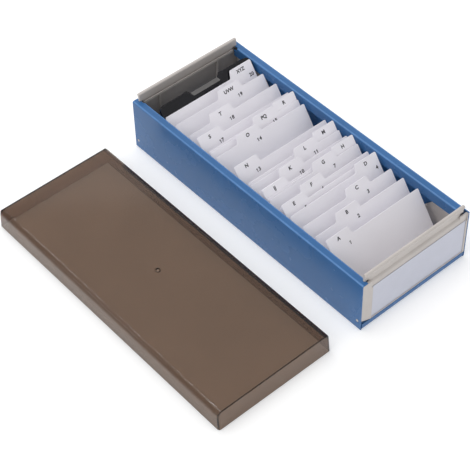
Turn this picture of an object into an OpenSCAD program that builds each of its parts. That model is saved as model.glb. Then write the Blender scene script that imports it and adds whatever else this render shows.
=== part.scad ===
// Business card file box: a folded steel tray closed by two moulded end panels,
// twenty leaning index dividers, a sliding follower that props them, a label card
// and a lift-off lid lying on the table beside the tray.
// X is the width, Y the length with the label end at -Y, Z is up.
// The origin is the middle of the tray's underside.

/* [Tray] */
// Outside width of the steel tray
tray_w = 120; // [105:1:140]
// Outside length of the steel tray
tray_l = 285; // [260:1:320]
// Height of the side walls, to the top of the rim
wall_h = 53.3; // [48:0.1:60]
// Thickness of the steel sheet
sheet_t = 0.8; // [0.6:0.1:1.2]
// Inside radius of the sheet's bends
bend_in = 0.6; // [0.4:0.1:1]
// Width of the rim's flat top
rim_w = 7.4; // [6:0.1:9]
// Depth of the lip that hangs from the rim's inner edge
lip_h = 9.8; // [7:0.1:13]
// Height of the turned-up lip at each end of the floor
end_lip_h = 5.8; // [4:0.1:8]
// Length of the notches in the rims at each end
rim_notch_l = 4.8; // [3:0.1:8]
// Width of the notches, except where the label card is drawn up
rim_notch_w = 1.6; // [1.5:0.1:4]
// Length of the shallow notches in the rims' inner folds at the rear
fold_notch_l = 8.5; // [5:0.1:12]
// Depth of those shallow notches
fold_notch_h = 3.5; // [2:0.1:6]
// Gap at the open corners between the end lip and the side walls' bends
corner_gap = 0.5; // [0.2:0.1:2]

/* [End panels] */
// Thickness of the panel's main plate
plate_t = 1.6; // [1.2:0.1:2.4]
// Thickness of the frame in front of the plate
frame_t = 1; // [0.9:0.1:1.5]
// Setback of the frame's face from the tray's end
frame_set = 0.2; // [0:0.1:0.6]
// Thickness of the panel's upper corners, under the rims
corner_t = 1; // [0.8:0.1:1.5]
// Width of the frame's wide post
wide_post = 10; // [7:0.5:14]
// Width of the frame's narrow post
narrow_post = 0.8; // [0.6:0.1:3]
// Height of the slanted cut under the wide post
post_cut_h = 5; // [2:0.5:8]
// Thickness of the upright web under the bead
web_t = 1.85; // [1.4:0.05:2.2]
// Clearance of the web's wide upper part over the rims
web_lift = 0.3; // [0.1:0.1:1]
// Radius of the bead along the panel's top
bead_r = 1.6; // [1.3:0.1:2.2]
// Height of the bead's top above the rim
bead_rise = 8; // [6:0.1:11]
// Distance from the tray's side to each end of the bead
bead_inset = 4.3; // [3.2:0.1:5]
// Setback of the bead's front behind the plate's face
bead_set = 0.25; // [0.1:0.05:0.6]
// Drop from the rim to the crease where the web stands on the plate
crease_drop = 2.5; // [1.5:0.1:3.5]
// Height of the slope from the plate's face up to that crease
slope_h = 2.2; // [1:0.1:4]
// Thickness of the stiffening ribs on the inside
rib_t = 1.2; // [0.8:0.1:2]
// Height of those ribs over the plate's back
rib_h = 2.3; // [1.9:0.1:3.4]
// Drop from the rim to the lower edge of the web's thick part, on the inside
brow_drop = 0.1; // [0:0.1:1.2]
// Drop from the rim to the top of the level rib
rib_drop = 2.3; // [1.8:0.1:5]
// Height of the level rib's front lip
rib_lip_h = 2.6; // [2:0.1:5]
// Thickness of that lip
rib_lip_t = 0.8; // [0.6:0.1:1.4]
// Width of the groove between the web and that lip
groove_w = 0.7; // [0.5:0.1:0.9]
// Distance from the middle to each upright rib
rib_x = 33; // [22:0.5:40]
// Thickness of the side cheeks that carry the pegs
cheek_t = 1.4; // [1:0.1:2.4]
// Depth of the side cheeks, along the walls
cheek_l = 43.2; // [36:0.1:50]
// Distance from the rim's top down to the cheeks' upper edge
cheek_drop = 7.3; // [4:0.1:12]
// Length of the slant at the cheeks' inner upper corner
cheek_cut_l = 17; // [8:0.5:20]
// Height of that slant
cheek_cut_h = 18.7; // [8:0.1:22]
// Radius of the pegs that lock into the walls
peg_r = 1.4; // [1:0.1:1.8]
// Distance from the tray's end to a peg's middle
peg_y = 3.9; // [3.8:0.1:6]
// Height of a peg's middle above the table
peg_z = 9.2; // [7:0.1:11]

/* [Label] */
// Thickness of the label card
label_t = 0.3; // [0.2:0.05:0.4]
// Height of the label card
label_h = 37.4; // [28:0.1:39]
// Width of the strips that hold the label card's edges
keeper_w = 1.2; // [0.8:0.1:2]
// Height of the keeper strip over the pocket's lower edge
low_keeper_h = 0.6; // [0.4:0.1:2]
// Thickness of those strips
keeper_t = 0.35; // [0.3:0.05:0.4]
// Thickness of the ledge that the label card stands on
ledge_t = 0.5; // [0.4:0.1:1]

/* [Lid] */
// Thickness of the lid
lid_t = 1.5; // [1.2:0.1:1.8]
// Height of the lid
lid_h = 19.4; // [15:0.1:26]
// Radius of the lid's corners, seen from above
lid_corner_r = 2.2; // [2:0.1:4]
// Radius along the lid's long upper edges
lid_side_r = 4.5; // [3:0.1:6]
// Radius along the upper edges at the lid's ends
lid_edge_r = 1; // [0.6:0.1:1.4]
// Radius of the moulding mark in the middle of the lid
gate_r = 2.6; // [1:0.1:4]
// Height of the moulding mark
gate_h = 0.5; // [0.3:0.1:1]
// Gap on the table between the lid and the tray
lid_apart = 31; // [5:1:80]
// How much further back than the tray the lid lies
lid_back = 1.3; // [0:0.1:20]

/* [Dividers] */
// Thickness of a divider
divider_t = 0.5; // [0.3:0.05:0.8]
// Height of a divider's body along its own plane
divider_h = 60.3; // [50:0.1:66]
// Height of a tab above the body
tab_h = 7.1; // [5:0.1:10]
// How much each free side of a tab slants in
tab_slant = 2.4; // [1:0.1:4]
// Radius of the dividers' outer corners
divider_corner_r = 1.2; // [0.5:0.1:2]
// How far the dividers lean back from upright
lean = 35.5; // [28:0.5:38]
// Room between the front panel's ribs and the first divider
first_room = 7.9; // [4:0.1:14]

/* [Follower] */
// Thickness of the follower's plate
follower_t = 2.4; // [1.6:0.1:3]
// How far the follower stands above the dividers' tabs
follower_rise = 1.9; // [0:0.1:4]
// Radius of the follower's upper corners
follower_corner_r = 5; // [2:0.5:8]
// Room behind the follower for it to slide back
follower_room = 17.6; // [10:0.1:22]
// Length of the foot under the plate
foot_l = 38; // [28:0.5:42]
// Thickness of the foot
foot_t = 2; // [1.5:0.1:3]
// Half the finger notch's width at its top
notch_top = 21; // [16:0.5:30]
// Half the finger notch's width at its bottom
notch_bottom = 15; // [8:0.5:15.5]
// Depth of the finger notch
notch_d = 5; // [3:0.5:12]
// Width of the thick rim round the notch
notch_rim_w = 2.4; // [1.5:0.1:4]
// How far that rim stands behind the plate
notch_rim_h = 1.6; // [1:0.1:3]
// Thickness of the gussets between plate and foot
gusset_t = 2; // [1.2:0.1:3]
// Distance from the middle to each outer gusset
gusset_x = 40; // [32:0.5:43]

/* [Fits] */
// Clearance between the panels and the steel round them
panel_gap = 0.1; // [0.05:0.05:0.2]
// Clearance round a peg in its hole
peg_gap = 0.1; // [0.05:0.05:0.3]
// Clearance at each side of the label card
label_gap = 0.2; // [0.1:0.05:0.4]
// Clearance between the lid's long sides and the beads' ends
lid_gap = 0.8; // [0.3:0.1:1.2]
// Clearance between the lid's ends and the beads
lid_end_gap = 0.2; // [0.2:0.1:0.5]
// Clearance between a divider's sides and the rim's lips
divider_gap = 2.6; // [1.5:0.1:4]
// Clearance under the dividers and the follower
floor_gap = 0.1; // [0.05:0.05:0.3]
// Clearance between the last divider and the follower
prop_gap = 0.9; // [0.5:0.1:1.5]
// Clearance at each side of the follower's foot
foot_gap = 0.4; // [0.2:0.1:0.8]
// Clearance between the follower's plate and the rim's lips
follower_gap = 1.6; // [0.8:0.1:3]
// Clearance between the panel's web and the rim's lips
web_gap = 1.4; // [0.6:0.1:2.5]

/* [Hidden] */
$fn = 64;
// Solids that are cut reach this far past the face they cut
over = 1;

// Tray
bend_out = bend_in + sheet_t;
wall_in = tray_w/2 - sheet_t;
lip_in = tray_w/2 - rim_w;
end_lip_w = tray_w - 2*bend_out - 2*corner_gap;

// End panels: y is measured from the tray's end, inwards
panel_half = wall_in - panel_gap;
plate_y0 = frame_set + frame_t;
plate_y1 = plate_y0 + plate_t;
rib_y1 = plate_y1 + rib_h;
frame_z0 = end_lip_h + panel_gap;
frame_z1 = wall_h - bend_out;
shoulder_z = wall_h - lip_h - panel_gap;
web_half = lip_in - web_gap;
bead_y = plate_y0 + bead_set + bead_r;
web_y1 = bead_y + bead_r;
web_y0 = web_y1 - web_t;
bead_z = wall_h + bead_rise - bead_r;
bead_half = tray_w/2 - bead_inset;
crease_z = wall_h - crease_drop;
brow_z = wall_h - brow_drop;
rib_z1 = wall_h - rib_drop;
groove_y1 = rib_y1 - rib_lip_t;
groove_y0 = groove_y1 - groove_w;
cheek_y1 = plate_y1 + cheek_l;
// The cheeks clear the tray's end lip, so the follower's foot also passes under them
cheek_z0 = end_lip_h + corner_gap;
cheek_z1 = wall_h - cheek_drop;

// Label card and its pocket
pocket_x0 = wide_post - panel_half;
pocket_x1 = panel_half - narrow_post;
label_w = pocket_x1 - pocket_x0 - 2*label_gap;
label_x = (pocket_x0 + pocket_x1)/2;
label_z0 = frame_z0 + ledge_t;
label_y = frame_set + keeper_t + (frame_t - keeper_t - label_t)/2;

// Lid: its skirt drops over the beads and stands on the rims
lid_in_w = 2*(bead_half + lid_gap);
lid_in_l = tray_l - 2*(bead_y - bead_r - lid_end_gap);
lid_w = lid_in_w + 2*lid_t;
lid_l = lid_in_l + 2*lid_t;
lid_in_r = lid_corner_r - lid_t;
lid_in_h = lid_h - lid_t + over;
lid_x = -(tray_w/2 + lid_apart + lid_w/2);

// Follower: placed from the rear panel's ribs
glide_z = sheet_t + floor_gap;
follower_h = divider_h + tab_h + follower_rise;
follower_half = lip_in - follower_gap;
foot_half = tray_w/2 - bend_out - foot_gap;
follower_top_y = tray_l/2 - rib_y1 - follower_room;
follower_run = follower_h*sin(lean) + (follower_t + notch_rim_h)*cos(lean);
follower_y = follower_top_y - follower_run;

// Dividers: the pack is spread between the front panel and the follower
divider_w = 2*(lip_in - divider_gap);
tab_count = 4;
tab_pitch = divider_w/tab_count;
// Room in front of the second and each later divider, as the pack is spread
divider_rooms = [
    16.5, 14.5, 15, 6, 6.5, 12.5, 2.5, 2, 8.5, 9.5,
    3.5, 13.5, 27, 7.5, 2, 10.5, 15.5, 17.5, 13.5
];
divider_count = len(divider_rooms) + 1;
first_y = -tray_l/2 + rib_y1 + first_room;
last_y = follower_y - (prop_gap + divider_t)/cos(lean);
spread = (last_y - first_y)/sum(divider_rooms);
divider_z = glide_z + divider_t*sin(lean);

function sum(list, n = undef, i = 0) =
    i >= (is_undef(n) ? len(list) : n) ? 0 : list[i] + sum(list, n, i + 1);
function divider_y(i) = first_y + spread*sum(divider_rooms, i);
function divider_name(i) = str("divider_", i < 9 ? "0" : "", i + 1);

// A bar between two corners
module block(low, high) {
    translate(low) cube(high - low);
}

// Quarter of a bent sheet's section, in the quadrant turned by angle
module bend_section(angle) {
    rotate(angle) intersection() {
        difference() {
            circle(bend_out);
            circle(bend_in);
        }
        square(bend_out);
    }
}

// Section of one side wall with its rim and lip, drawn on the +X side
module wall_section() {
    translate([wall_in, bend_out]) square([sheet_t, wall_h - 2*bend_out]);
    translate([tray_w/2 - bend_out, bend_out]) bend_section(-90);
    translate([tray_w/2 - bend_out, wall_h - bend_out]) bend_section(0);
    translate([lip_in + bend_out, wall_h - sheet_t]) square([rim_w - 2*bend_out, sheet_t]);
    translate([lip_in + bend_out, wall_h - bend_out]) bend_section(90);
    translate([lip_in, wall_h - lip_h]) square([sheet_t, lip_h - bend_out]);
}

// A section drawn in X and Z, drawn out along Y about the middle
module along_y(length) {
    rotate([90, 0, 0]) linear_extrude(length, center = true) children();
}

// A section drawn in Y and Z, drawn out along X about the middle
module along_x(length) {
    rotate([90, 0, 90]) linear_extrude(length, center = true) children();
}

// Both ends: the second copy is turned round, as the same piece fitted to the other end
module both_ends() {
    for (turn = [0, 180]) rotate(turn) children();
}

// The lip that turns up from the floor at the front end
module end_lip() {
    translate([0, -tray_l/2, 0]) along_x(end_lip_w) {
        translate([bend_out, bend_out]) bend_section(180);
        translate([0, bend_out]) square([sheet_t, end_lip_h - bend_out]);
    }
}

// Notch in the front end of the +X rim, from its inner lip out to a place across it
module rim_notch(outer_x, length, depth) {
    block(
        [lip_in - over, -tray_l/2 - over, wall_h - depth],
        [outer_x, length - tray_l/2, wall_h + over]
    );
}

// All notches in the rims; beside the label card's edge the notch is wide, so that it can be drawn up
module rim_notches() {
    notch_x = lip_in + rim_notch_w;
    both_ends() for (side = [0, 1]) mirror([side, 0, 0]) rim_notch(notch_x, rim_notch_l, lip_h + over);
    rim_notch(pocket_x1 + label_gap, rim_notch_l, lip_h + over);
    rotate(180) for (side = [0, 1]) mirror([side, 0, 0]) rim_notch(notch_x, fold_notch_l, fold_notch_h);
}

module tray() {
    color([0.27, 0.42, 0.63]) difference() {
        union() {
            for (side = [0, 1]) mirror([side, 0, 0]) along_y(tray_l) wall_section();
            translate([0, 0, sheet_t/2])
                cube([tray_w - 2*bend_out, tray_l - 2*bend_out, sheet_t], center = true);
            both_ends() end_lip();
        }
        rim_notches();
        both_ends() for (side = [-1, 1])
            translate([side*wall_in, peg_y - tray_l/2, peg_z]) rotate([0, 90, 0])
                cylinder(r = peg_r + peg_gap, h = 2*sheet_t + over, center = true);
    }
}

// Outline of the panel's plate, slope, web and grooved rib, in Y and Z, seen from the side
module web_section() {
    rib_z0 = rib_z1 - rib_lip_h;
    polygon([
        [plate_y0, bend_out], [plate_y0, crease_z - slope_h], [web_y0, crease_z], [web_y0, bead_z],
        [web_y1, bead_z], [web_y1, brow_z], [groove_y0, brow_z], [groove_y0, rib_z0 + rib_t],
        [groove_y1, rib_z0 + rib_t], [groove_y1, rib_z1], [rib_y1, rib_z1], [rib_y1, rib_z0],
        [plate_y1, rib_z0], [plate_y1, bend_out]
    ]);
}

// Frame round the label pocket, with the keeper strips over the pocket's edges
module panel_frame() {
    difference() {
        block([-panel_half, frame_set, frame_z0], [panel_half, plate_y0, frame_z1]);
        block(
            [pocket_x0 + keeper_w, 0, label_z0 + low_keeper_h],
            [pocket_x1 - keeper_w, plate_y0, wall_h]
        );
        block([pocket_x0, frame_set + keeper_t, label_z0], [pocket_x1, plate_y0, wall_h]);
        block([pocket_x0, 0, label_z0 + label_h], [pocket_x1, plate_y0, wall_h]);
    }
}

// Slanted cut that leaves the lower corner open beside the wide post
module post_cut() {
    translate([0, plate_y1 + over, 0]) rotate([90, 0, 0]) linear_extrude(plate_y1 + 2*over)
        polygon([
            [-panel_half - over, 0], [pocket_x0, 0],
            [pocket_x0, frame_z0], [-panel_half - over, frame_z0 + post_cut_h]
        ]);
}

// One end panel, with Y measured inwards from the tray's end
module end_panel() {
    difference() {
        union() {
            along_x(2*web_half) web_section();
            block([-panel_half, plate_y0, bend_out], [panel_half, plate_y1, shoulder_z]);
            panel_frame();
        }
        post_cut();
    }
    block([-bead_half, web_y0, wall_h + web_lift], [bead_half, web_y1, bead_z]);
    translate([0, bead_y, bead_z]) rotate([0, 90, 0]) cylinder(r = bead_r, h = 2*bead_half, center = true);
    for (side = [0, 1]) mirror([side, 0, 0]) panel_side();
}

// What the panel has at each side: an upper corner, an upright rib and a cheek with its peg
module panel_side() {
    block([web_half - over, plate_y0, shoulder_z - over], [panel_half, plate_y0 + corner_t, frame_z1]);
    block([rib_x - rib_t/2, plate_y1 - over/2, sheet_t], [rib_x + rib_t/2, rib_y1, rib_z1 - rib_t]);
    translate([panel_half - cheek_t/2, 0, 0]) along_x(cheek_t) polygon([
        [plate_y1 - over/2, cheek_z0], [cheek_y1, cheek_z0], [cheek_y1, cheek_z1 - cheek_cut_h],
        [cheek_y1 - cheek_cut_l, cheek_z1], [plate_y1 - over/2, cheek_z1]
    ]);
    translate([panel_half - cheek_t/2, peg_y, peg_z]) rotate([0, 90, 0])
        cylinder(r = peg_r, h = tray_w/2 - panel_half + cheek_t/2);
}

module front_panel() {
    color([0.82, 0.79, 0.73]) translate([0, -tray_l/2, 0]) end_panel();
}

module rear_panel() {
    color([0.82, 0.79, 0.73]) rotate(180) translate([0, -tray_l/2, 0]) end_panel();
}

module label_card() {
    color([0.85, 0.87, 0.93]) translate([label_x, label_y - tray_l/2, label_z0])
        block([-label_w/2, 0, 0], [label_w/2, label_t, label_h]);
}

// Outline of a divider in its own plane, with the tab at one of the four places
module divider_outline(place) {
    left = place*tab_pitch - divider_w/2;
    right = left + tab_pitch;
    first = place == 0;
    last = place == tab_count - 1;
    tab_top = divider_h + tab_h;
    left_points = first ? [] : [[left - tab_slant/2, divider_h], [-divider_w/2, divider_h]];
    right_points = last ? [] : [[divider_w/2, divider_h], [right + tab_slant/2, divider_h]];
    difference() {
        polygon(concat(
            [[-divider_w/2, 0], [divider_w/2, 0]], right_points,
            [[right - (last ? 0 : tab_slant/2), tab_top], [left + (first ? 0 : tab_slant/2), tab_top]],
            left_points
        ));
        round_off(-1, first ? tab_top : divider_h);
        round_off(1, last ? tab_top : divider_h);
    }
}

// What rounding takes off a divider's outer corner that ends at a height
module round_off(side, height) {
    translate([side*(divider_w/2 - divider_corner_r), height - divider_corner_r]) difference() {
        translate([side > 0 ? 0 : -2*divider_corner_r, 0]) square(2*divider_corner_r);
        circle(divider_corner_r);
    }
}

// Puts a flat outline up on its lower edge, leaning back over +Y, drawn out to a thickness
module leaning(y, z, thickness) {
    translate([0, y, z]) rotate([-lean, 0, 0]) translate([0, thickness, 0])
        rotate([90, 0, 0]) linear_extrude(thickness) children();
}

module divider(i) {
    color([0.93, 0.93, 0.95]) leaning(divider_y(i), divider_z, divider_t) divider_outline(i % tab_count);
}

// The follower's plate at a thickness, with two round upper corners
module follower_slab(thickness) {
    leaning(follower_y, glide_z, thickness) cover_view(2*follower_half, follower_h, follower_corner_r);
}

// Finger notch cut level through the follower's top edge, grown by a margin
module finger_notch(margin) {
    top_z = glide_z + follower_h*cos(lean);
    low_z = top_z - notch_d - margin;
    low_half = notch_bottom + margin;
    top_half = notch_top + margin;
    along_y(tray_l) polygon([
        [-low_half, low_z], [low_half, low_z], [top_half, top_z + over], [-top_half, top_z + over]
    ]);
}

// The sloping plate with its finger notch and the thicker rim round the notch
module follower_plate() {
    difference() {
        union() {
            follower_slab(follower_t);
            intersection() {
                follower_slab(follower_t + notch_rim_h);
                finger_notch(notch_rim_w);
            }
        }
        finger_notch(0);
    }
}

module follower() {
    foot_y0 = follower_y + follower_t/2;
    foot_y1 = follower_y + foot_l;
    gusset_z = foot_l*cos(lean)*cos(lean);
    color([0.08, 0.08, 0.09]) {
        difference() {
            follower_plate();
            block([-tray_w, follower_y - over, -over], [tray_w, tray_l, glide_z]);
        }
        block([-foot_half, foot_y0, glide_z], [foot_half, foot_y1, glide_z + foot_t]);
        for (x = [-gusset_x, 0, gusset_x]) translate([x, foot_y0, glide_z]) along_x(gusset_t)
            polygon([[0, 0], [foot_y1 - foot_y0, 0], [gusset_z*tan(lean), gusset_z]]);
    }
}

// Rectangle with round corners, about the middle
module round_rect(width, length, radius) {
    square([width, length - 2*radius], center = true);
    square([width - 2*radius, length], center = true);
    for (x = [-1, 1], y = [-1, 1]) translate([x*(width/2 - radius), y*(length/2 - radius)]) circle(radius);
}

// Side view of a cover with two round upper corners
module cover_view(width, height, radius) {
    translate([-width/2, 0]) square([width, height - radius]);
    translate([radius - width/2, 0]) square([width - 2*radius, height]);
    for (side = [-1, 1]) translate([side*(width/2 - radius), height - radius]) circle(radius);
}

module lid() {
    color([0.42, 0.35, 0.29, 0.6]) translate([lid_x, lid_back, 0]) {
        difference() {
            intersection() {
                linear_extrude(lid_h) round_rect(lid_w, lid_l, lid_corner_r);
                along_y(lid_l) cover_view(lid_w, lid_h, lid_side_r);
                along_x(lid_w) cover_view(lid_l, lid_h, lid_edge_r);
            }
            translate([0, 0, -over]) intersection() {
                linear_extrude(lid_in_h) round_rect(lid_in_w, lid_in_l, lid_in_r);
                along_y(lid_in_l) cover_view(lid_in_w, lid_in_h, lid_side_r - lid_t);
            }
        }
        translate([0, 0, lid_h - lid_t/2]) cylinder(r = gate_r, h = lid_t/2 + gate_h);
    }
}

tray();
front_panel();
rear_panel();
label_card();
follower();
lid();
for (i = [0:divider_count - 1]) divider(i);
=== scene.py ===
"""Business card file box: the looks of a blue steel tray with ivory end panels, twenty lettered
index dividers, a black follower, a label card, and a smoke-brown lid lying beside the tray."""

import math
import random

import bmesh
import bpy
from mathutils import Matrix, Vector


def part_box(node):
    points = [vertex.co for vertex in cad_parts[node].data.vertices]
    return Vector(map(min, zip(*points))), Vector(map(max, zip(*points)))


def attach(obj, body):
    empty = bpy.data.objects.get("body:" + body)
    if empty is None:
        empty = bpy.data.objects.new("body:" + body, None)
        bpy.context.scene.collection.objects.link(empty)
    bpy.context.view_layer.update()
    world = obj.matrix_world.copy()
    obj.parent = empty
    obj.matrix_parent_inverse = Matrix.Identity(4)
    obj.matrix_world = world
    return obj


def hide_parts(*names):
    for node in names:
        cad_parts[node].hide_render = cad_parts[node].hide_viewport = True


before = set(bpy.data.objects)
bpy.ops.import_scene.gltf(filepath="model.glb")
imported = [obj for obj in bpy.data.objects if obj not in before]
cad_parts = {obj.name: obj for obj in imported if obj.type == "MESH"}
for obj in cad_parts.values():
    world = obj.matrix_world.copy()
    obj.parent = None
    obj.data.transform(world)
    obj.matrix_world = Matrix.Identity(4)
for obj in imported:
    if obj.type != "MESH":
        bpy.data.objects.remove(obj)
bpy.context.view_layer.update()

# Sizes are in millimetres, as in the part's source, and meshes are scaled to metres when they are made.
# X is the width, Y the length with the label end at -Y, Z is up from the table.
MM = 0.001
# Overlap of neighbouring solids that are joined, and the distance within which two places are one
OVERLAP = 0.5
NEAR = 0.01


def node_box(node):
    """Lowest and highest corner of a CAD node, in millimetres."""
    low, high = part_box(node)
    return low / MM, high / MM


# Tray sheet
_, TRAY_HIGH = node_box("tray")
HALF_W = TRAY_HIGH.x
HALF_L = TRAY_HIGH.y
WALL_H = TRAY_HIGH.z
SHEET_T = 0.8
BEND_OUT = 1.4
BEND_IN = BEND_OUT - SHEET_T
RIM_W = 7.4
LIP_H = 9.8
END_LIP_H = 5.8
CORNER_GAP = 0.5
LIP_IN = HALF_W - RIM_W
NOTCH_L = 4.8
NOTCH_X = LIP_IN + 1.6
WIDE_NOTCH_X = 58.5
FOLD_NOTCH_L = 8.5
FOLD_NOTCH_H = 3.5
# Range of a fold's slope that gets the paler painted highlight: upright and sideways parts of its normal
HIGHLIGHT_STEEPEST = 0.6
HIGHLIGHT_FLATTEST = 0.05

# End panels, with depths measured inwards from the tray's end
PANEL_HALF = 59.1
FRAME_Y = 0.2
PLATE_Y0 = 1.2
PLATE_Y1 = 2.8
FRAME_Z0 = 5.9
FRAME_Z1 = WALL_H - BEND_OUT
SHOULDER_Z = 43.4
POST_X = -49.1
THIN_POST_X = 58.3
POST_FOOT_Z = 10.45
LEDGE_Z = 6.4
LABEL_TOP_Z = 43.8
KEEPER_W = 1.2
LOW_KEEPER_W = 0.6
KEEPER_Y = 0.55
CORNER_Y = 2.2
WEB_HALF = 51.2
WEB_Y0 = 2.8
WEB_Y1 = 4.65
CREASE_Z = WALL_H - 2.5
SLOPE_H = 2.2
BAND_Z0 = WALL_H + 0.3
COVE_Z = WALL_H + 1.2
BEAD_R = 1.6
BEAD_Y = 3.05
BEAD_Z = WALL_H + 6.4
BEAD_HALF = 55.7
BAND_END_R = 0.5
RIB_X = 33.0
RIB_T = 1.2
RIB_Y1 = 5.1
RIB_Z1 = WALL_H - 2.3
RIB_Z0 = RIB_Z1 - 2.6
BROW_Z = WALL_H - 0.1
GROOVE_Y0 = 3.6
GROOVE_Y1 = 4.3
CHEEK_T = 1.4
CHEEK_Y1 = 46.0
CHEEK_Z0 = 6.3
CHEEK_Z1 = WALL_H - 7.3
CHEEK_CUT_L = 17.0
CHEEK_CUT_H = 18.7
CHEEK_CORNER_R = 2.0
PEG_R = 1.4
PEG_Y = 3.9
PEG_Z = 9.2
PEG_ROUND = 0.3
PEG_PLAY = 0.1
PEG_HOLE_REACH = 1.0
PEG_HOLE_ROUND = 0.05
FRAME_SINK = 0.3
FRAME_STEP = 0.1
THIN_POST_SINK = 0.4
CORNER_OVERLAP = 1.0
SLOPE_POWER = 1.4
BEAD_FOOT = 0.7
COVE_SHORT = 0.15
BEAD_SWEEP = 84.0
PANEL_EDGE_R = 0.14
# Places across the panels where their long faces are cut
SLICE_PITCH = 9.0
SLICES_EACH_WAY = 5
END_SLICES = (50.0, 52.0, 54.6)

# Label card
LABEL_CORNER_R = 0.6
LABEL_EDGE_R = 0.05

# Dividers, in their own plane: u across, v up the card, w through it from the front
LEAN = math.radians(35.5)
CARD_T = 0.5
CARD_W = 100.0
CARD_H = 60.3
TAB_H = 7.1
TAB_SLANT = 2.4
TAB_PITCH = 25.0
CARD_CORNER_R = 1.2
TAB_CORNER_R = 1.6
CARD_ROWS = 8
CARD_COLUMNS = 10
CARD_BOW = 0.3
CARD_TWIST = 0.25
CARD_SEED = 20
TAB_PLACES = 4
CARD_NAMES = [
    "A", "B", "C", "D", "E", "F", "G", "H", "IJ", "K",
    "L", "M", "N", "O", "PQ", "R", "S", "T", "UVW", "XYZ",
]
LETTER_SIZE = 4.5
NUMBER_SIZE = 4.5
LETTER_PLACE = (11.7, 4.5)
NUMBER_PLACE = (20.7, 12.8)
FIGURE_PITCH = 2.5
PRINT_T = 0.02
PRINT_WEIGHT = 0.17
PRINT_SINK = 0.3

# Follower
FOLLOWER_T = 2.4
FOLLOWER_H = 69.3
FOLLOWER_HALF = 51.0
FOLLOWER_CORNER_R = 5.0
FOOT_L = 38.0
FOOT_T = 2.0
FOOT_HALF = 58.2
NOTCH_TOP = 21.0
NOTCH_BOTTOM = 15.0
NOTCH_D = 5.0
NOTCH_CORNER_R = 3.0
NOTCH_RIM_W = 2.4
NOTCH_RIM_H = 1.6
GUSSET_T = 2.0
GUSSET_X = 40.0
NOTCH_REACH = 10.0
FOLLOWER_EDGE_R = 0.4
# The notch's level face with a painted highlight, a paler grey: how level it is, and how far below the
# follower's top
NOTCH_HIGHLIGHT_LEVEL = 0.9
NOTCH_HIGHLIGHT_BELOW = 1.0

# Lid
LID_T = 1.5
LID_CORNER_R = 2.2
LID_SIDE_R = 4.5
LID_END_R = 1.0
LID_IN_SIDE_R = 5.0
LID_IN_END_R = 0.3
LID_END_LEAN = 1.6
LID_SIDE_LEAN = 0.4
LID_FOOT_R = 0.4
LID_LEAST_R = 0.25
LID_FLAT_IN = 0.4
LID_SHOULDER_STEPS = 14
# Faces with painted shade along the lid's edges: the mesh attribute that marks them, and their least slopes
EDGE_SHADE_ATTRIBUTE = "edge"
EDGE_SLOPE = 0.25
CORNER_SLOPE = 0.6
# Moulding mark: a raised ring with a pit in it, its section given as inset and rise
GATE_R = 2.6
GATE_H = 0.5
GATE_SECTION = [
    (-0.4, 0.0), (0.0, 0.0), (0.1, 0.25), (0.3, 0.44), (0.6, 0.5), (0.85, 0.42), (1.05, 0.1),
    (1.25, -0.3), (1.5, -0.55), (1.9, -0.65), (2.3, -0.65),
]

# Floor
FLOOR_HALF = 6000.0
FLOOR_DROP = 0.05
FLOOR_CELLS = 8


# Mesh helpers

def make_object(name, bm):
    """Object with a bmesh's shape, scaled from millimetres to metres."""
    bmesh.ops.recalc_face_normals(bm, faces=bm.faces)
    bmesh.ops.scale(bm, vec=(MM, MM, MM), verts=bm.verts)
    mesh = bpy.data.meshes.new(name)
    bm.to_mesh(mesh)
    bm.free()
    obj = bpy.data.objects.new(name, mesh)
    bpy.context.scene.collection.objects.link(obj)
    return obj


def prism(points, depth, place):
    """Closed bmesh: a flat outline drawn out by a depth. place(u, v, w) gives the point in space."""
    bm = bmesh.new()
    near = [bm.verts.new(place(u, v, 0.0)) for u, v in points]
    far = [bm.verts.new(place(u, v, depth)) for u, v in points]
    caps = [bm.faces.new(near), bm.faces.new(far[::-1])]
    for i in range(len(points)):
        k = (i + 1) % len(points)
        bm.faces.new((near[k], near[i], far[i], far[k]))
    bmesh.ops.triangulate(bm, faces=[cap for cap in caps if len(cap.verts) > 4])
    return bm


def block(low, high):
    """Closed bmesh: a bar between two corners."""
    outline = [(low[0], low[1]), (high[0], low[1]), (high[0], high[1]), (low[0], high[1])]
    return prism(outline, high[2] - low[2], lambda u, v, w: (u, v, low[2] + w))


def along_x(points, x0, x1):
    """Closed bmesh: an outline in Y and Z drawn out along X."""
    return prism(points, x1 - x0, lambda u, v, w: (x0 + w, u, v))


def along_y(points, y0, y1):
    """Closed bmesh: an outline in X and Z drawn out along Y."""
    return prism(points, y1 - y0, lambda u, v, w: (u, y0 + w, v))


def loft(rings):
    """Closed bmesh: rings of equal point counts joined in order, with a face on the first and last."""
    bm = bmesh.new()
    verts = [[bm.verts.new(p) for p in ring] for ring in rings]
    count = len(rings[0])
    for lower, upper in zip(verts, verts[1:]):
        for i in range(count):
            k = (i + 1) % count
            bm.faces.new((lower[i], lower[k], upper[k], upper[i]))
    bm.faces.new(verts[0][::-1])
    bm.faces.new(verts[-1])
    return bm


def round_rect(middle, half_x, half_y, radius, z, steps=8):
    """Level ring of points on a rectangle with round corners."""
    ring = []
    for sx, sy, start in ((1, 1, 0), (-1, 1, 90), (-1, -1, 180), (1, -1, 270)):
        for i in range(steps + 1):
            a = math.radians(start + 90.0 * i / steps)
            x = sx * (half_x - radius) + radius * math.cos(a)
            y = sy * (half_y - radius) + radius * math.sin(a)
            ring.append((middle[0] + x, middle[1] + y, z))
    return ring


def rod_x(radius, x0, x1, y, z, round_r, segments=40):
    """Closed bmesh: a rod along X with rounded ends."""
    steps = 5
    turns = [math.pi / 2 * i / steps for i in range(steps + 1)]
    core = radius - round_r
    profile = [(x0 + round_r * (1 - math.sin(t)), core + round_r * math.cos(t)) for t in turns[::-1]]
    profile += [(x1 - round_r * (1 - math.sin(t)), core + round_r * math.cos(t)) for t in turns]
    rings = []
    for x, r in profile:
        angles = [2 * math.pi * k / segments for k in range(segments)]
        rings.append([(x, y + r * math.cos(a), z + r * math.sin(a)) for a in angles])
    return loft(rings)


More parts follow.
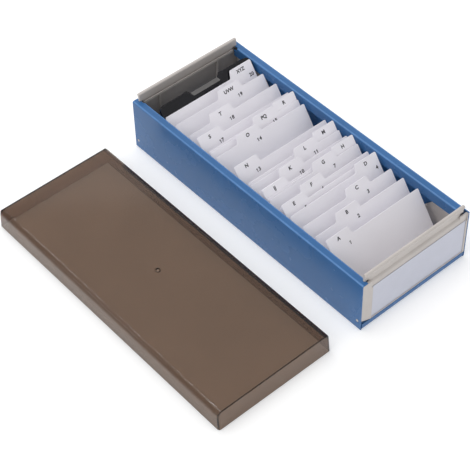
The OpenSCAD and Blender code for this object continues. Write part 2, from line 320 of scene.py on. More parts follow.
def round_corners(points, radii, steps=5):
    """Outline with each corner rounded to its own radius."""
    out = []
    count = len(points)
    for i in range(count):
        corner = Vector(points[i])
        radius = radii[i]
        before = (Vector(points[i - 1]) - corner).normalized()
        after = (Vector(points[(i + 1) % count]) - corner).normalized()
        if radius <= 0:
            out.append(tuple(corner))
            continue
        half = before.angle(after) / 2
        reach = radius / math.tan(half)
        middle = corner + (before + after).normalized() * radius / math.sin(half)
        start = corner + before * reach - middle
        end = corner + after * reach - middle
        sweep = start.angle_signed(end)
        for k in range(steps + 1):
            turn = Matrix.Rotation(-sweep * k / steps, 2)
            out.append(tuple(middle + turn @ start))
    return out


def combined(name, objs, operation):
    """One object from the first object and the others, by a boolean operation."""
    gather = bpy.data.collections.new(f"{name}_others")
    for obj in objs[1:]:
        gather.objects.link(obj)
    modifier = objs[0].modifiers.new("combine", "BOOLEAN")
    modifier.operation = operation
    modifier.operand_type = "COLLECTION"
    modifier.collection = gather
    modifier.solver = "EXACT"
    return settled(name, objs, gather)


def joined(name, parts, more=()):
    """One object from overlapping closed bmeshes, and objects, joined into one skin."""
    objs = [make_object(f"{name}_part", bm) for bm in parts]
    return combined(name, objs + list(more), "UNION")


def cut(obj, tools):
    """The object with closed bmeshes taken out of it."""
    name = obj.name
    obj.name = f"{name}_whole"
    return combined(name, [obj] + [make_object(f"{name}_tool", bm) for bm in tools], "DIFFERENCE")


def kept_within(obj, limit):
    """The part of an object that lies within a closed bmesh."""
    name = obj.name
    obj.name = f"{name}_whole"
    return combined(name, [obj, make_object(f"{name}_limit", limit)], "INTERSECT")


def settled(name, objs, gather):
    """New object with the first object's finished shape; the objects it was made from go."""
    graph = bpy.context.evaluated_depsgraph_get()
    mesh = bpy.data.meshes.new_from_object(objs[0].evaluated_get(graph))
    mesh.name = name
    for obj in objs:
        bpy.data.meshes.remove(obj.data)
    bpy.data.collections.remove(gather)
    result = bpy.data.objects.new(name, mesh)
    bpy.context.scene.collection.objects.link(result)
    return result


def sliced(obj, places):
    """Cuts an object's long faces across X at the places, so that its shading stays even."""
    bm = bmesh.new()
    bm.from_mesh(obj.data)
    for x in places:
        whole = bm.verts[:] + bm.edges[:] + bm.faces[:]
        place = (x * MM, 0.0, 0.0)
        bmesh.ops.bisect_plane(bm, geom=whole, plane_co=place, plane_no=(1.0, 0.0, 0.0), dist=1e-6)
    bm.to_mesh(obj.data)
    bm.free()


def smooth(obj, angle=30.0):
    """Smooth shading, sharp at edges over the angle."""
    obj.data.shade_smooth()
    obj.data.set_sharp_from_angle(angle=math.radians(angle))


def soften(obj, width, segments=2, angle=40.0):
    """Rounds the object's sharp edges by a small radius."""
    bevel = obj.modifiers.new("edges", "BEVEL")
    bevel.width = width * MM
    bevel.segments = segments
    bevel.limit_method = "ANGLE"
    bevel.angle_limit = math.radians(angle)
    bevel.harden_normals = True
    obj.data.shade_smooth()


def dress(obj, body, slot, node, *materials):
    """Gives a piece its materials and its body, and hides the CAD node it stands for. The slot is not used.
    """
    for material in materials:
        obj.data.materials.append(material)
    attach(obj, body)
    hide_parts(node)


# Materials

def shader(name, colour, roughness, shift=0.06, patch=35.0, grain=900.0, bump=0.02, rough_shift=0.05):
    """Procedural surface: soft patches of colour, uneven gloss and a fine grain."""
    material = bpy.data.materials.new(name)
    material.use_nodes = True
    nodes = material.node_tree.nodes
    links = material.node_tree.links
    surface = nodes["Principled BSDF"]
    place = nodes.new("ShaderNodeTexCoord")

    patches = nodes.new("ShaderNodeTexNoise")
    patches.inputs["Scale"].default_value = patch
    patches.inputs["Detail"].default_value = 4.0
    links.new(place.outputs["Object"], patches.inputs["Vector"])
    tint = nodes.new("ShaderNodeValToRGB")
    tint.color_ramp.elements[0].position = 0.3
    tint.color_ramp.elements[1].position = 0.7
    tint.color_ramp.elements[0].color = (*[c * (1 - shift) for c in colour], 1.0)
    tint.color_ramp.elements[1].color = (*[min(1.0, c * (1 + shift)) for c in colour], 1.0)
    links.new(patches.outputs["Fac"], tint.inputs["Fac"])
    links.new(tint.outputs["Color"], surface.inputs["Base Color"])

    gloss = nodes.new("ShaderNodeMapRange")
    gloss.inputs["To Min"].default_value = roughness - rough_shift
    gloss.inputs["To Max"].default_value = roughness + rough_shift
    links.new(patches.outputs["Fac"], gloss.inputs["Value"])
    links.new(gloss.outputs["Result"], surface.inputs["Roughness"])

    grains = nodes.new("ShaderNodeTexNoise")
    grains.inputs["Scale"].default_value = grain
    grains.inputs["Detail"].default_value = 3.0
    links.new(place.outputs["Object"], grains.inputs["Vector"])
    relief = nodes.new("ShaderNodeBump")
    relief.inputs["Strength"].default_value = bump
    relief.inputs["Distance"].default_value = 0.0005
    links.new(grains.outputs["Fac"], relief.inputs["Height"])
    links.new(relief.outputs["Normal"], surface.inputs["Normal"])
    return material, surface


def paint_edge_shade(material, surface, colour):
    """Blends the surface's colour into a darker one where the mesh's edge attribute says so: painted shade
    on the lid's rounded edges.
    """
    nodes = material.node_tree.nodes
    links = material.node_tree.links
    even = surface.inputs["Base Color"].links[0].from_socket
    edge = nodes.new("ShaderNodeAttribute")
    edge.attribute_name = EDGE_SHADE_ATTRIBUTE
    mix = nodes.new("ShaderNodeMixRGB")
    mix.inputs["Color2"].default_value = colour
    links.new(edge.outputs["Fac"], mix.inputs["Fac"])
    links.new(even, mix.inputs["Color1"])
    links.new(mix.outputs["Color"], surface.inputs["Base Color"])


blue_paint, blue = shader(
    "blue_paint", (0.038, 0.137, 0.338), roughness=0.27, shift=0.05, patch=30.0, grain=1400.0, bump=0.05,
)
blue.inputs["Specular IOR Level"].default_value = 0.3
# Paler blue for the upper side of the rims' folds: a painted highlight along the bends
fold_highlight_paint, fold_highlight = shader(
    "fold_highlight_paint", (0.085, 0.215, 0.46), roughness=0.25, shift=0.08, patch=120.0, grain=1400.0, bump=0.05,
)
fold_highlight.inputs["Specular IOR Level"].default_value = 0.4
ivory_plastic, _ = shader(
    "ivory_plastic", (0.545, 0.505, 0.48), roughness=0.42, shift=0.04, patch=60.0, grain=1500.0, bump=0.04,
)
label_paper, _ = shader(
    "label_paper", (0.588, 0.603, 0.69), roughness=0.7, shift=0.02, patch=90.0, grain=1800.0, bump=0.06,
)
card_plastic, _ = shader(
    "card_plastic", (0.92, 0.9, 0.95), roughness=0.5, shift=0.02, patch=25.0, grain=1600.0, bump=0.05,
)
black_plastic, black = shader(
    "black_plastic", (0.005, 0.005, 0.008), roughness=0.17, shift=0.2, patch=50.0, grain=1300.0, bump=0.03,
)
black.inputs["Specular IOR Level"].default_value = 0.38
# Paler grey for the notch's level faces: a painted highlight where the notch's top catches light
notch_highlight_plastic, _ = shader(
    "notch_highlight_plastic", (0.088, 0.084, 0.084), roughness=0.3, shift=0.12, patch=160.0, grain=1300.0, bump=0.04,
)
print_ink, _ = shader(
    "print_ink", (0.012, 0.012, 0.015), roughness=0.6, shift=0.15, patch=400.0, grain=2500.0, bump=0.02,
)
smoke_plastic, smoke = shader(
    "smoke_plastic", (0.62, 0.53, 0.46), roughness=0.08, shift=0.03, patch=20.0, grain=700.0, bump=0.0,
    rough_shift=0.012,
)
smoke.inputs["Transmission Weight"].default_value = 1.0
smoke.inputs["IOR"].default_value = 1.49
absorption = smoke_plastic.node_tree.nodes.new("ShaderNodeVolumeAbsorption")
absorption.inputs["Color"].default_value = (0.923, 0.899, 0.876, 1.0)
absorption.inputs["Density"].default_value = 5000.0
output = smoke_plastic.node_tree.nodes["Material Output"]
smoke_plastic.node_tree.links.new(absorption.outputs["Volume"], output.inputs["Volume"])
# Painted shade: the lid's rounded ends and corners darkened in colour
paint_edge_shade(smoke_plastic, smoke, (0.03, 0.024, 0.022, 1.0))


# Tray: one sheet folded along its length

def bend(cx, cz, start, steps=8):
    """Quarter bend in section: pairs of outer and inner points round a centre, turning clockwise."""
    pairs = []
    for i in range(steps + 1):
        a = math.radians(start - 90.0 * i / steps)
        way = Vector((math.cos(a), math.sin(a)))
        centre = Vector((cx, cz))
        pairs.append((centre + way * BEND_OUT, centre + way * BEND_IN))
    return pairs


def side_section():
    """Section of the +X side from the lip's foot over the rim and down the wall to the floor."""
    section = []
    for z in (WALL_H - LIP_H, WALL_H - FOLD_NOTCH_H):
        section.append((Vector((LIP_IN, z)), Vector((LIP_IN + SHEET_T, z))))
    section += bend(LIP_IN + BEND_OUT, WALL_H - BEND_OUT, 180.0)
    for x in (NOTCH_X, WIDE_NOTCH_X):
        section.append((Vector((x, WALL_H)), Vector((x, WALL_H - SHEET_T))))
    section += bend(HALF_W - BEND_OUT, WALL_H - BEND_OUT, 90.0)
    section += bend(HALF_W - BEND_OUT, BEND_OUT, 0.0)
    return section


def in_notch(side, x, y, z):
    """True for a place on the sheet that a notch takes away. The wide one lets the label card out."""
    from_end = HALF_L - abs(y)
    at_label = side > 0 and y < 0
    if from_end < NOTCH_L:
        return x < (WIDE_NOTCH_X if at_label else NOTCH_X) + NEAR and z > WALL_H - LIP_H - NEAR
    return y > 0 and from_end < FOLD_NOTCH_L and x < NOTCH_X + NEAR and z > WALL_H - FOLD_NOTCH_H - NEAR


def sheet_mesh(name, cells):
    """Object of a sheet: each cell is four pairs of outer and inner points; open edges are closed."""
    bm = bmesh.new()
    pairs = {}
    edges = {}
    faces = []

    def pair(outer, inner):
        key = tuple(round(c, 4) for c in (*outer, *inner))
        if key not in pairs:
            pairs[key] = (bm.verts.new(outer), bm.verts.new(inner))
        return key

    for cell in cells:
        keys = [pair(*p) for p in cell]
        faces.append(keys)
        for i in range(4):
            edge = (keys[i], keys[(i + 1) % 4])
            edges[frozenset(edge)] = None if frozenset(edge) in edges else edge
    for keys in faces:
        bm.faces.new([pairs[k][0] for k in keys])
        bm.faces.new([pairs[k][1] for k in keys[::-1]])
    for edge in edges.values():
        if edge is not None:
            a, b = (pairs[k] for k in edge)
            bm.faces.new((b[0], a[0], a[1], b[1]))
    return make_object(name, bm)


def tray_cells():
    """Cells of the tray's sheet, without the notches in the rims."""
    cells = []
    section = side_section()
    inner = HALF_L - FOLD_NOTCH_L
    stations = [-HALF_L, NOTCH_L - HALF_L]
    stations += [inner * (i / 6 - 1) for i in range(13)]
    stations += [HALF_L - NOTCH_L, HALF_L]

    def at(pair, y, side):
        return tuple(Vector((side * p.x, y, p.y)) for p in pair)

    for side in (-1, 1):
        for y0, y1 in zip(stations, stations[1:]):
            for a, b in zip(section, section[1:]):
                if in_notch(side, max(a[0].x, b[0].x), (y0 + y1) / 2, min(a[0].y, b[0].y)):
                    continue
                corners = [at(a, y0, side), at(a, y1, side), at(b, y1, side), at(b, y0, side)]
                cells.append(corners if side > 0 else corners[::-1])

    edge_x = HALF_W - BEND_OUT
    lip_x = edge_x - CORNER_GAP
    columns = [-edge_x, -lip_x] + [lip_x * i / 4 for i in range(-3, 4)] + [lip_x, edge_x]
    flat_end = HALF_L - BEND_OUT
    # Floor stations pass the same lines as the walls where these are within the flat part
    floor_y = [-flat_end] + [y for y in stations if abs(y) < flat_end - 0.1] + [flat_end]

    def floor_at(x, y):
        return Vector((x, y, 0.0)), Vector((x, y, SHEET_T))

    for x0, x1 in zip(columns, columns[1:]):
        for y0, y1 in zip(floor_y, floor_y[1:]):
            cells.append([floor_at(x0, y0), floor_at(x0, y1), floor_at(x1, y1), floor_at(x1, y0)])
        if abs(x0 + x1) / 2 > lip_x:
            continue
        for end in (-1, 1):
            path = [(Vector((0.0, 0.0)), Vector((0.0, SHEET_T)))]
            for out, inn in bend(0.0, BEND_OUT, 0.0)[::-1][1:]:
                path.append((out, inn))
            path.append((Vector((BEND_OUT, END_LIP_H)), Vector((BEND_IN, END_LIP_H))))

            def lip_at(pair, x):
                return tuple(Vector((x, end * (flat_end + p.x), p.y)) for p in pair)

            for a, b in zip(path, path[1:]):
                corners = [lip_at(a, x0), lip_at(b, x0), lip_at(b, x1), lip_at(a, x1)]
                cells.append(corners if end > 0 else corners[::-1])
    return cells


def paint_fold_highlight(obj):
    """Gives the upper side of the rims' folds the second material, a paler blue that paints a highlight
    along the bends.
    """
    for face in obj.data.polygons:
        on_fold = face.normal.z > HIGHLIGHT_STEEPEST and abs(face.normal.x) > HIGHLIGHT_FLATTEST
        if on_fold and face.center.z > (WALL_H - BEND_OUT) * MM:
            face.material_index = 1


tray = sheet_mesh("tray_sheet", tray_cells())
peg_holes = []
for end in (-1, 1):
    for side in (-1, 1):
        x = side * (HALF_W - SHEET_T / 2)
        y = end * (HALF_L - PEG_Y)
        hole_r = PEG_R + PEG_PLAY
        hole_x = (x - PEG_HOLE_REACH, x + PEG_HOLE_REACH)
        peg_holes.append(rod_x(hole_r, *hole_x, y, PEG_Z, PEG_HOLE_ROUND))
tray = cut(tray, peg_holes)
smooth(tray, 35.0)
dress(tray, "box", "steel", "tray", blue_paint, fold_highlight_paint)
# Painted highlight along the rims' folds
paint_fold_highlight(tray)


# End panels

def web_outline():
    """Section of the plate, the sloping shoulder, the web's foot and the grooved rib."""
    slope = []
    steps = 6
    for i in range(steps + 1):
        t = i / steps
        y = PLATE_Y0 + (WEB_Y0 - PLATE_Y0) * t ** SLOPE_POWER
        slope.append((y, CREASE_Z - SLOPE_H + SLOPE_H * t))
    return [
        (PLATE_Y0, BEND_OUT), *slope, (WEB_Y0, COVE_Z), (WEB_Y1, COVE_Z), (WEB_Y1, BROW_Z),
        (GROOVE_Y0, BROW_Z), (GROOVE_Y0, RIB_Z0 + RIB_T), (GROOVE_Y1, RIB_Z0 + RIB_T),
        (GROOVE_Y1, RIB_Z1), (RIB_Y1, RIB_Z1), (RIB_Y1, RIB_Z0), (PLATE_Y1, RIB_Z0),
        (PLATE_Y1, BEND_OUT),
    ]


def band_rings():
    """Rings of the band that stands over the rims: hollow in front, flat behind, round on top."""
    def ring(half, y0, y1, z):
        radius = min(BAND_END_R, (y1 - y0) / 2 - NEAR)
        return round_rect((0.0, (y0 + y1) / 2), half, (y1 - y0) / 2, radius, z)

    rings = [ring(BEAD_HALF, WEB_Y0, WEB_Y1, BAND_Z0)]
    steps = 8
    bead_foot = BEAD_Z - BEAD_FOOT
    for i in range(steps + 1):
        t = i / steps
        y = WEB_Y0 - (WEB_Y0 - BEAD_Y + BEAD_R - COVE_SHORT) * t * t
        rings.append(ring(BEAD_HALF, y, WEB_Y1, COVE_Z + (bead_foot - COVE_Z) * t))
    for i in range(steps + 1):
        turn = math.radians(BEAD_SWEEP * i / steps)
        reach = BEAD_R * math.cos(turn)
        half = BEAD_HALF - BAND_END_R * (1 - math.cos(turn))
        rings.append(ring(half, BEAD_Y - reach, BEAD_Y + reach, BEAD_Z + BEAD_R * math.sin(turn)))
    return rings


def cheek_outline():
    """Side of a panel's cheek, a plate along the tray's wall with a slanting corner."""
    return round_corners(
        [
            (PLATE_Y1 - OVERLAP, CHEEK_Z0), (CHEEK_Y1, CHEEK_Z0), (CHEEK_Y1, CHEEK_Z1 - CHEEK_CUT_H),
            (CHEEK_Y1 - CHEEK_CUT_L, CHEEK_Z1), (PLATE_Y1 - OVERLAP, CHEEK_Z1),
        ],
        [0, CHEEK_CORNER_R, CHEEK_CORNER_R, CHEEK_CORNER_R, 0],
    )


def panel_parts():
    """Overlapping solids of one end panel, at the front end."""
    near = PLATE_Y0 + FRAME_SINK
    keeper_z = FRAME_Z0 + FRAME_STEP
    post_in = POST_X - OVERLAP
    thin_in = THIN_POST_X + THIN_POST_SINK
    parts = [
        along_x(web_outline(), -WEB_HALF, WEB_HALF),
        along_y([
            (-PANEL_HALF, POST_FOOT_Z), (POST_X, FRAME_Z0), (POST_X, BEND_OUT), (PANEL_HALF, BEND_OUT),
            (PANEL_HALF, SHOULDER_Z), (-PANEL_HALF, SHOULDER_Z),
        ], PLATE_Y0, PLATE_Y1),
        along_y([
            (-PANEL_HALF, POST_FOOT_Z), (POST_X, FRAME_Z0), (POST_X, FRAME_Z1), (-PANEL_HALF, FRAME_Z1),
        ], FRAME_Y, near),
        block((THIN_POST_X, FRAME_Y, FRAME_Z0), (PANEL_HALF, near, FRAME_Z1)),
        block((post_in, FRAME_Y, FRAME_Z0), (PANEL_HALF - FRAME_STEP, near, LEDGE_Z)),
        block((post_in, FRAME_Y, keeper_z), (POST_X + KEEPER_W, KEEPER_Y, LABEL_TOP_Z)),
        block((THIN_POST_X - KEEPER_W, FRAME_Y, keeper_z), (thin_in, KEEPER_Y, LABEL_TOP_Z)),
        block((POST_X, FRAME_Y, keeper_z), (THIN_POST_X, KEEPER_Y, LEDGE_Z + LOW_KEEPER_W)),
        loft(band_rings()),
    ]
    for side in (-1, 1):
        def across(x0, x1):
            return sorted((side * x0, side * x1))

        corner = across(WEB_HALF - CORNER_OVERLAP, PANEL_HALF)
        rib = across(RIB_X - RIB_T / 2, RIB_X + RIB_T / 2)
        cheek = across(PANEL_HALF - CHEEK_T, PANEL_HALF)
        peg = across(PANEL_HALF - CHEEK_T / 2, HALF_W)
        corner_z = SHOULDER_Z - CORNER_OVERLAP
        parts.append(block((corner[0], PLATE_Y0, corner_z), (corner[1], CORNER_Y, FRAME_Z1)))
        parts.append(block((rib[0], PLATE_Y1 - OVERLAP, SHEET_T), (rib[1], RIB_Y1, RIB_Z1 - RIB_T)))
        parts.append(along_x(cheek_outline(), *cheek))
        parts.append(rod_x(PEG_R, *peg, PEG_Y, PEG_Z, PEG_ROUND))
    for bm in parts:
        bmesh.ops.translate(bm, vec=(0.0, -HALF_L, 0.0), verts=bm.verts)
    return parts


front = joined("front_panel_moulding", panel_parts())
slices = [SLICE_PITCH * i for i in range(-SLICES_EACH_WAY, SLICES_EACH_WAY + 1)]
slices += [side * x for side in (-1, 1) for x in END_SLICES]
sliced(front, slices)
rear = bpy.data.objects.new("rear_panel_moulding", front.data.copy())
rear.data.transform(Matrix.Rotation(math.pi, 4, "Z"))
bpy.context.scene.collection.objects.link(rear)
for panel, node in ((front, "front_panel"), (rear, "rear_panel")):
    soften(panel, PANEL_EDGE_R)
    dress(panel, "box", "ivory", node, ivory_plastic)


# Label card

label_low, label_high = node_box("label_card")
label_outline = round_corners(
    [
        (label_low.x, label_low.z), (label_high.x, label_low.z),
        (label_high.x, label_high.z), (label_low.x, label_high.z),
    ],
    [LABEL_CORNER_R] * 4,
)
label = make_object("label_insert", along_y(label_outline, label_low.y, label_high.y))
soften(label, LABEL_EDGE_R)
dress(label, "label", "label", "label_card", label_paper)


# Dividers

def leaning(base_y, base_z):
    """Place on a plane that leans back from a line on the floor."""
    along = (math.sin(LEAN), math.cos(LEAN))
    through = (math.cos(LEAN), -math.sin(LEAN))

    def place(u, v, w):
        return (u, base_y + v * along[0] + w * through[0], base_z + v * along[1] + w * through[1])

    return place


def card_outline(tab):
    """Outline of a divider with its tab in one of the four places, from the left."""
    half = CARD_W / 2
    left = tab * TAB_PITCH - half
    right = left + TAB_PITCH
    first = tab == 0
    last = tab == CARD_W / TAB_PITCH - 1
    top = CARD_H + TAB_H
    points = [(-half, 0.0), (half, 0.0)]
    radii = [CARD_CORNER_R, CARD_CORNER_R]
    if not last:
        points += [(half, CARD_H), (right + TAB_SLANT / 2, CARD_H), (right - TAB_SLANT / 2, top)]
        radii += [CARD_CORNER_R, TAB_CORNER_R, TAB_CORNER_R]
    else:
        points.append((half, top))
        radii.append(CARD_CORNER_R)
    if not first:
        points += [(left + TAB_SLANT / 2, top), (left - TAB_SLANT / 2, CARD_H), (-half, CARD_H)]
        radii += [TAB_CORNER_R, TAB_CORNER_R, CARD_CORNER_R]
    else:
        points.append((-half, top))
        radii.append(CARD_CORNER_R)
    return round_corners(points, radii)


def card_bow(rng):
    """Slight bow of one card: a function of the place on the card, in millimetres."""
    across = rng.uniform(-CARD_BOW, CARD_BOW)
    twist = rng.uniform(-CARD_TWIST, CARD_TWIST)

    def bow(u, v):
        u1 = u / (CARD_W / 2)
        v1 = v / CARD_H
        return across * (1 - u1 * u1) * v1 + twist * u1 * v1 * v1

    return bow


def card_mesh(name, tab, place, bow):
    """A thin card with its slight bow, leaning in its place."""
    bm = bmesh.new()
    outline = card_outline(tab)
    bm.faces.new([bm.verts.new((u, v, 0.0)) for u, v in outline])
    lines = []
    for i in range(1, CARD_ROWS + 1):
        lines.append(((0.0, CARD_H * i / CARD_ROWS, 0.0), (0.0, 1.0, 0.0)))
    for i in range(1, CARD_COLUMNS):
        lines.append(((CARD_W * (i / CARD_COLUMNS - 0.5), 0.0, 0.0), (1.0, 0.0, 0.0)))
    for point, normal in lines:
        whole = bm.verts[:] + bm.edges[:] + bm.faces[:]
        bmesh.ops.bisect_plane(bm, geom=whole, plane_co=point, plane_no=normal, dist=0.001)
    grown = bmesh.ops.extrude_face_region(bm, geom=bm.faces[:])
    for item in grown["geom"]:
        if isinstance(item, bmesh.types.BMVert):
            item.co.z = CARD_T
    for vert in bm.verts:
        u, v, w = vert.co
        vert.co = place(u, v, w + bow(u, v))
    return make_object(name, bm)


def figure_one(size):
    """Mesh of a figure one with a flag, standing about its middle, in millimetres."""
    bar = 0.075 * size
    top = 0.36 * size
    outline = [
        (-bar, -top), (bar, -top), (bar, top), (-0.6 * bar, top),
        (-3.2 * bar, 0.6 * top), (-3.2 * bar, 0.3 * top), (-bar, 0.55 * top),
    ]
    bm = prism(outline, PRINT_T, lambda u, v, w: (u, v, w - PRINT_T / 2))
    mesh = bpy.data.meshes.new("figure_one")
    bm.to_mesh(mesh)
    bm.free()
    return mesh


def word_mesh(body, size):
    """Mesh of a word lying in a plane about its middle, in millimetres."""
    if body == "1":
        return figure_one(size)
    curve = bpy.data.curves.new("word", "FONT")
    curve.body = body
    curve.size = size
    curve.align_x = "CENTER"
    curve.align_y = "CENTER"
    curve.extrude = PRINT_T / 2
    curve.offset = PRINT_WEIGHT
    curve.resolution_u = 4
    obj = bpy.data.objects.new("word", curve)
    bpy.context.scene.collection.objects.link(obj)
    graph = bpy.context.evaluated_depsgraph_get()
    mesh = bpy.data.meshes.new_from_object(obj.evaluated_get(graph))
    bpy.data.objects.remove(obj)
    bpy.data.curves.remove(curve)
    return mesh


def print_mesh(name, words, tab, place, bow):
    """The letters and the number printed on a card's face."""
    bm = bmesh.new()
    left = tab * TAB_PITCH - CARD_W / 2
    top = CARD_H + TAB_H
    for body, size, (across, down) in words:
        mesh = word_mesh(body, size)
        start = len(bm.verts)
        bm.from_mesh(mesh)
        bpy.data.meshes.remove(mesh)
        bm.verts.ensure_lookup_table()
        for vert in bm.verts[start:]:
            u = left + across + vert.co.x
            v = top - down + vert.co.y
            vert.co = place(u, v, bow(u, v) - vert.co.z - PRINT_SINK * PRINT_T)
    return make_object(name, bm)


rng = random.Random(CARD_SEED)
for index, letters in enumerate(CARD_NAMES):
    body = f"divider_{index + 1:02d}"
    tab = index % TAB_PLACES
    low, _ = node_box(body)
    place = leaning(low.y, low.z + CARD_T * math.sin(LEAN))
    bow = card_bow(rng)
    card = card_mesh(f"{body}_card", tab, place, bow)
    smooth(card)
    dress(card, body, "divider", body, card_plastic)
    words = [(letters, LETTER_SIZE, LETTER_PLACE)]
    figures = str(index + 1)
    for k, figure in enumerate(figures):
        across = NUMBER_PLACE[0] + (k - (len(figures) - 1) / 2) * FIGURE_PITCH
        words.append((figure, NUMBER_SIZE, (across, NUMBER_PLACE[1])))
    ink = print_mesh(f"{body}_print", words, tab, place, bow)
    ink.data.materials.append(print_ink)
    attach(ink, body)


# Follower

def follower_slab(place, thickness):
    """The follower's sloping plate at a thickness, with two round upper corners."""
    half = FOLLOWER_HALF
    outline = [(-half, 0.0), (half, 0.0), (half, FOLLOWER_H), (-half, FOLLOWER_H)]
    rounded = round_corners(outline, [0, 0, FOLLOWER_CORNER_R, FOLLOWER_CORNER_R], 8)
    return prism(rounded, thickness, place)


def finger_notch(top_z, y0, y1, margin):
    """Level bar through the follower's top edge: the finger notch, grown by a margin."""
    low_z = top_z - NOTCH_D - margin
    low = NOTCH_BOTTOM + margin
    high = NOTCH_TOP + margin
    over_z = top_z + NOTCH_D
    rise = (over_z - low_z) / (NOTCH_D + margin)
    far = low + (high - low) * rise
    outline = [(-low, low_z), (low, low_z), (far, over_z), (-far, over_z)]
    return along_y(round_corners(outline, [NOTCH_CORNER_R + margin] * 2 + [0, 0], 8), y0, y1)


def follower_piece():
    """The follower: plate with its notch and the notch's thick rim, foot and gussets."""
    low, high = node_box("follower")
    y0 = low.y
    z0 = low.z
    place = leaning(y0, z0)
    top_z = z0 + FOLLOWER_H * math.cos(LEAN)
    plate = follower_slab(place, FOLLOWER_T)
    # The plate's lower edge is cut level with the floor
    rise = FOLLOWER_T * math.tan(LEAN)
    for vert in plate.verts:
        if vert.co.z < z0:
            vert.co = place(vert.co.x, rise, FOLLOWER_T)
    rim = make_object("rim", finger_notch(top_z, y0, high.y + NOTCH_REACH, NOTCH_RIM_W))
    rim = kept_within(rim, follower_slab(place, FOLLOWER_T + NOTCH_RIM_H))
    foot_y = y0 + FOLLOWER_T / 2
    foot_end = y0 + FOOT_L
    apex = FOOT_L * math.cos(LEAN) ** 2
    gusset = [(foot_y, z0), (foot_end, z0), (foot_y + apex * math.tan(LEAN), z0 + apex)]
    parts = [plate, block((-FOOT_HALF, foot_y, z0), (FOOT_HALF, foot_end, z0 + FOOT_T))]
    for x in (-GUSSET_X, 0.0, GUSSET_X):
        parts.append(along_x(gusset, x - GUSSET_T / 2, x + GUSSET_T / 2))
    whole = joined("follower_plate", parts, [rim])
    return cut(whole, [finger_notch(top_z, y0, high.y + NOTCH_REACH, 0.0)])


def paint_notch_highlight(obj):
    """Gives the level faces in the finger notch the second material, a paler grey that paints the light they
    catch.
    """
    _, high = node_box("follower")
    notch_z = (high.z - NOTCH_D - NOTCH_RIM_H) * MM
    for face in obj.data.polygons:
        across = abs(face.center.x) < NOTCH_TOP * MM
        within = notch_z < face.center.z < (high.z - NOTCH_HIGHLIGHT_BELOW) * MM
        if across and within and face.normal.z > NOTCH_HIGHLIGHT_LEVEL:
            face.material_index = 1


follower = follower_piece()
dress(follower, "follower", "black", "follower", black_plastic, notch_highlight_plastic)
# Painted highlight on the notch's level faces
paint_notch_highlight(follower)
soften(follower, FOLLOWER_EDGE_R, 3)


# Lid: a moulded shell, open below

def gate_ring(radius, z, like):
    """Round ring about the lid's middle with its points facing those of another ring."""
    ring = []
    for k in range(len(like)):
        a = 2 * math.pi * (k + 0.5) / len(like)
        ring.append((lid_mid.x + radius * math.cos(a), lid_mid.y + radius * math.sin(a), z))
    return ring


lid_low, lid_high = node_box("lid")
lid_mid = (lid_low + lid_high) / 2
lid_top = lid_high.z - GATE_H
half_x = (lid_high.x - lid_low.x) / 2
half_y = (lid_high.y - lid_low.y) / 2


def edge_inset(radius, drop):
    """How far a round upper edge lies inside the side, at a depth below the top."""
    if drop >= radius:
        return 0.0
    return radius - math.sqrt(radius ** 2 - (radius - drop) ** 2)


def lid_ring(inset_x, inset_y, radius, z):
    """Level ring of the lid's skin. The ends and sides lean inwards as they rise."""
    up = (z - lid_low.z) / (lid_top - lid_low.z)
    half_w = half_x - inset_x - LID_SIDE_LEAN * up
    half_d = half_y - inset_y - LID_END_LEAN * up
    return round_rect(lid_mid, half_w, half_d, radius, z)


def lid_shoulder(wall, corner, top, side_r, end_r):
    """Rings of the lid's rounded upper edges, outside or inside, from the top down."""
    rings = []
    steps = LID_SHOULDER_STEPS
    for i in range(steps + 1):
        drop = side_r * (1 - math.cos(math.pi / 2 * i / steps))
        x = edge_inset(side_r, drop)
        y = edge_inset(end_r, drop)
        rings.append(lid_ring(wall + x, wall + y, max(corner - x, LID_LEAST_R), top - drop))
    return rings


def lid_rings():
    """Rings of the lid's skin from the ceiling, down inside, up outside and over the top."""
    inner_r = LID_CORNER_R - LID_T
    rings = lid_shoulder(LID_T, inner_r, lid_top - LID_T, LID_IN_SIDE_R, LID_IN_END_R)
    foot_in = LID_T - LID_FOOT_R
    foot_z = lid_low.z + LID_FOOT_R
    rings.append(lid_ring(LID_T, LID_T, inner_r, foot_z))
    rings.append(lid_ring(foot_in, foot_in, inner_r + LID_FOOT_R, lid_low.z))
    rings.append(lid_ring(LID_FOOT_R, LID_FOOT_R, LID_CORNER_R - LID_FOOT_R, lid_low.z))
    rings.append(lid_ring(0.0, 0.0, LID_CORNER_R, foot_z))
    rings += lid_shoulder(0.0, LID_CORNER_R, lid_top, LID_SIDE_R, LID_END_R)[::-1]
    flat = LID_SIDE_R + LID_FLAT_IN
    rings.append(lid_ring(flat, flat, LID_LEAST_R, lid_top))
    like = rings[-1]
    for inset, rise in GATE_SECTION:
        rings.append(gate_ring(GATE_R - inset, lid_top + rise, like))
    return rings


def mark_shaded_edges(obj):
    """Marks the round faces of the lid's ends and upright corners for painted shade, where the rounded
    plastic looks darker by the light passing through it.
    """
    edge = obj.data.attributes.new(EDGE_SHADE_ATTRIBUTE, "FLOAT", "FACE")
    for face in obj.data.polygons:
        normal = face.normal
        outside = normal.dot(face.center - lid_mid * MM) > 0
        at_top = min(abs(normal.y), normal.z) > EDGE_SLOPE
        at_corner = min(abs(normal.x), abs(normal.y)) > CORNER_SLOPE
        if outside and (at_top or at_corner):
            edge.data[face.index].value = 1.0


lid = make_object("lid_shell", loft(lid_rings()))
mark_shaded_edges(lid)
smooth(lid, 35.0)
dress(lid, "lid", "smoke", "lid", smoke_plastic)


# Floor, light and camera

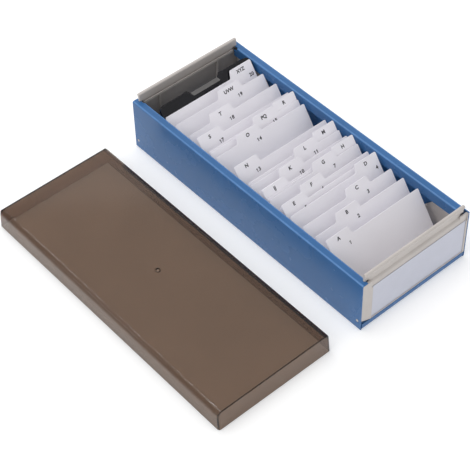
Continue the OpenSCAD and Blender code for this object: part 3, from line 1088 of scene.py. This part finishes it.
def add_floor():
    """Plain pale floor, wide enough to fill every view."""
    bm = bmesh.new()
    bmesh.ops.create_grid(bm, x_segments=FLOOR_CELLS, y_segments=FLOOR_CELLS, size=FLOOR_HALF)
    bmesh.ops.translate(bm, vec=(0.0, 0.0, -FLOOR_DROP), verts=bm.verts)
    floor = make_object("floor", bm)
    material, glow = shader(
        "floor_paper", (0.85, 0.85, 0.85), roughness=0.9, shift=0.005, patch=3.0, grain=300.0, bump=0.0,
        rough_shift=0.02,
    )
    glow.inputs["Emission Color"].default_value = (1.0, 1.0, 1.0, 1.0)
    glow.inputs["Emission Strength"].default_value = 0.27
    floor.data.materials.append(material)


def add_light(name, place, size, power, target=(0.0, 0.0, 0.0)):
    """Soft rectangular light in metres, turned to a point."""
    light = bpy.data.lights.new(name, "AREA")
    light.shape = "RECTANGLE"
    light.size, light.size_y = size
    light.energy = power
    obj = bpy.data.objects.new(name, light)
    obj.location = place
    obj.rotation_mode = "QUATERNION"
    obj.rotation_quaternion = (Vector(target) - Vector(place)).to_track_quat("-Z", "Y")
    bpy.context.scene.collection.objects.link(obj)


def add_world(strength):
    """Even white surroundings."""
    world = bpy.data.worlds.new("surroundings")
    world.use_nodes = True
    world.node_tree.nodes["Background"].inputs["Color"].default_value = (1.0, 1.0, 1.0, 1.0)
    world.node_tree.nodes["Background"].inputs["Strength"].default_value = strength
    bpy.context.scene.world = world


def add_camera():
    """Camera at the photograph's viewing angle; the picture is square."""
    azimuth = math.radians(-39.94)
    elevation = math.radians(47.47)
    roll = math.radians(-1.58)
    place = Vector((-0.626951, -0.667982, 0.952717))
    back = Vector((
        math.sin(azimuth) * math.cos(elevation),
        -math.cos(azimuth) * math.cos(elevation),
        math.sin(elevation),
    ))
    level = Vector((0.0, 0.0, 1.0)).cross(back).normalized()
    upright = back.cross(level)
    right = math.cos(roll) * level + math.sin(roll) * upright
    up = math.cos(roll) * upright - math.sin(roll) * level
    data = bpy.data.cameras.new("camera")
    data.sensor_width = 36.0
    data.lens = 117.46
    camera = bpy.data.objects.new("camera", data)
    camera.matrix_world = Matrix((right, up, back)).transposed().to_4x4()
    camera.location = place
    bpy.context.scene.collection.objects.link(camera)
    bpy.context.scene.camera = camera


add_floor()
add_world(0.66)
add_light("overhead", (-0.3, 0.1, 1.5), (1.0, 1.0), 5.5, (-0.05, 0.0, 0.0))
add_light("left_side", (-1.3, -0.1, 1.1), (0.6, 0.6), 2.6)
add_light("rear_left", (-1.3, 0.9, 0.85), (0.35, 0.35), 0.8)
add_light("backdrop", (0.963, 1.278, 0.865), (2.4, 1.63), 6.0, (0.0, 0.0, 0.865))
add_light("strip", (0.05, 0.75, 1.38), (0.05, 0.8), 1.8, (-0.1, 0.0, 0.0))
add_camera()
bpy.context.scene.view_settings.view_transform = "Standard"
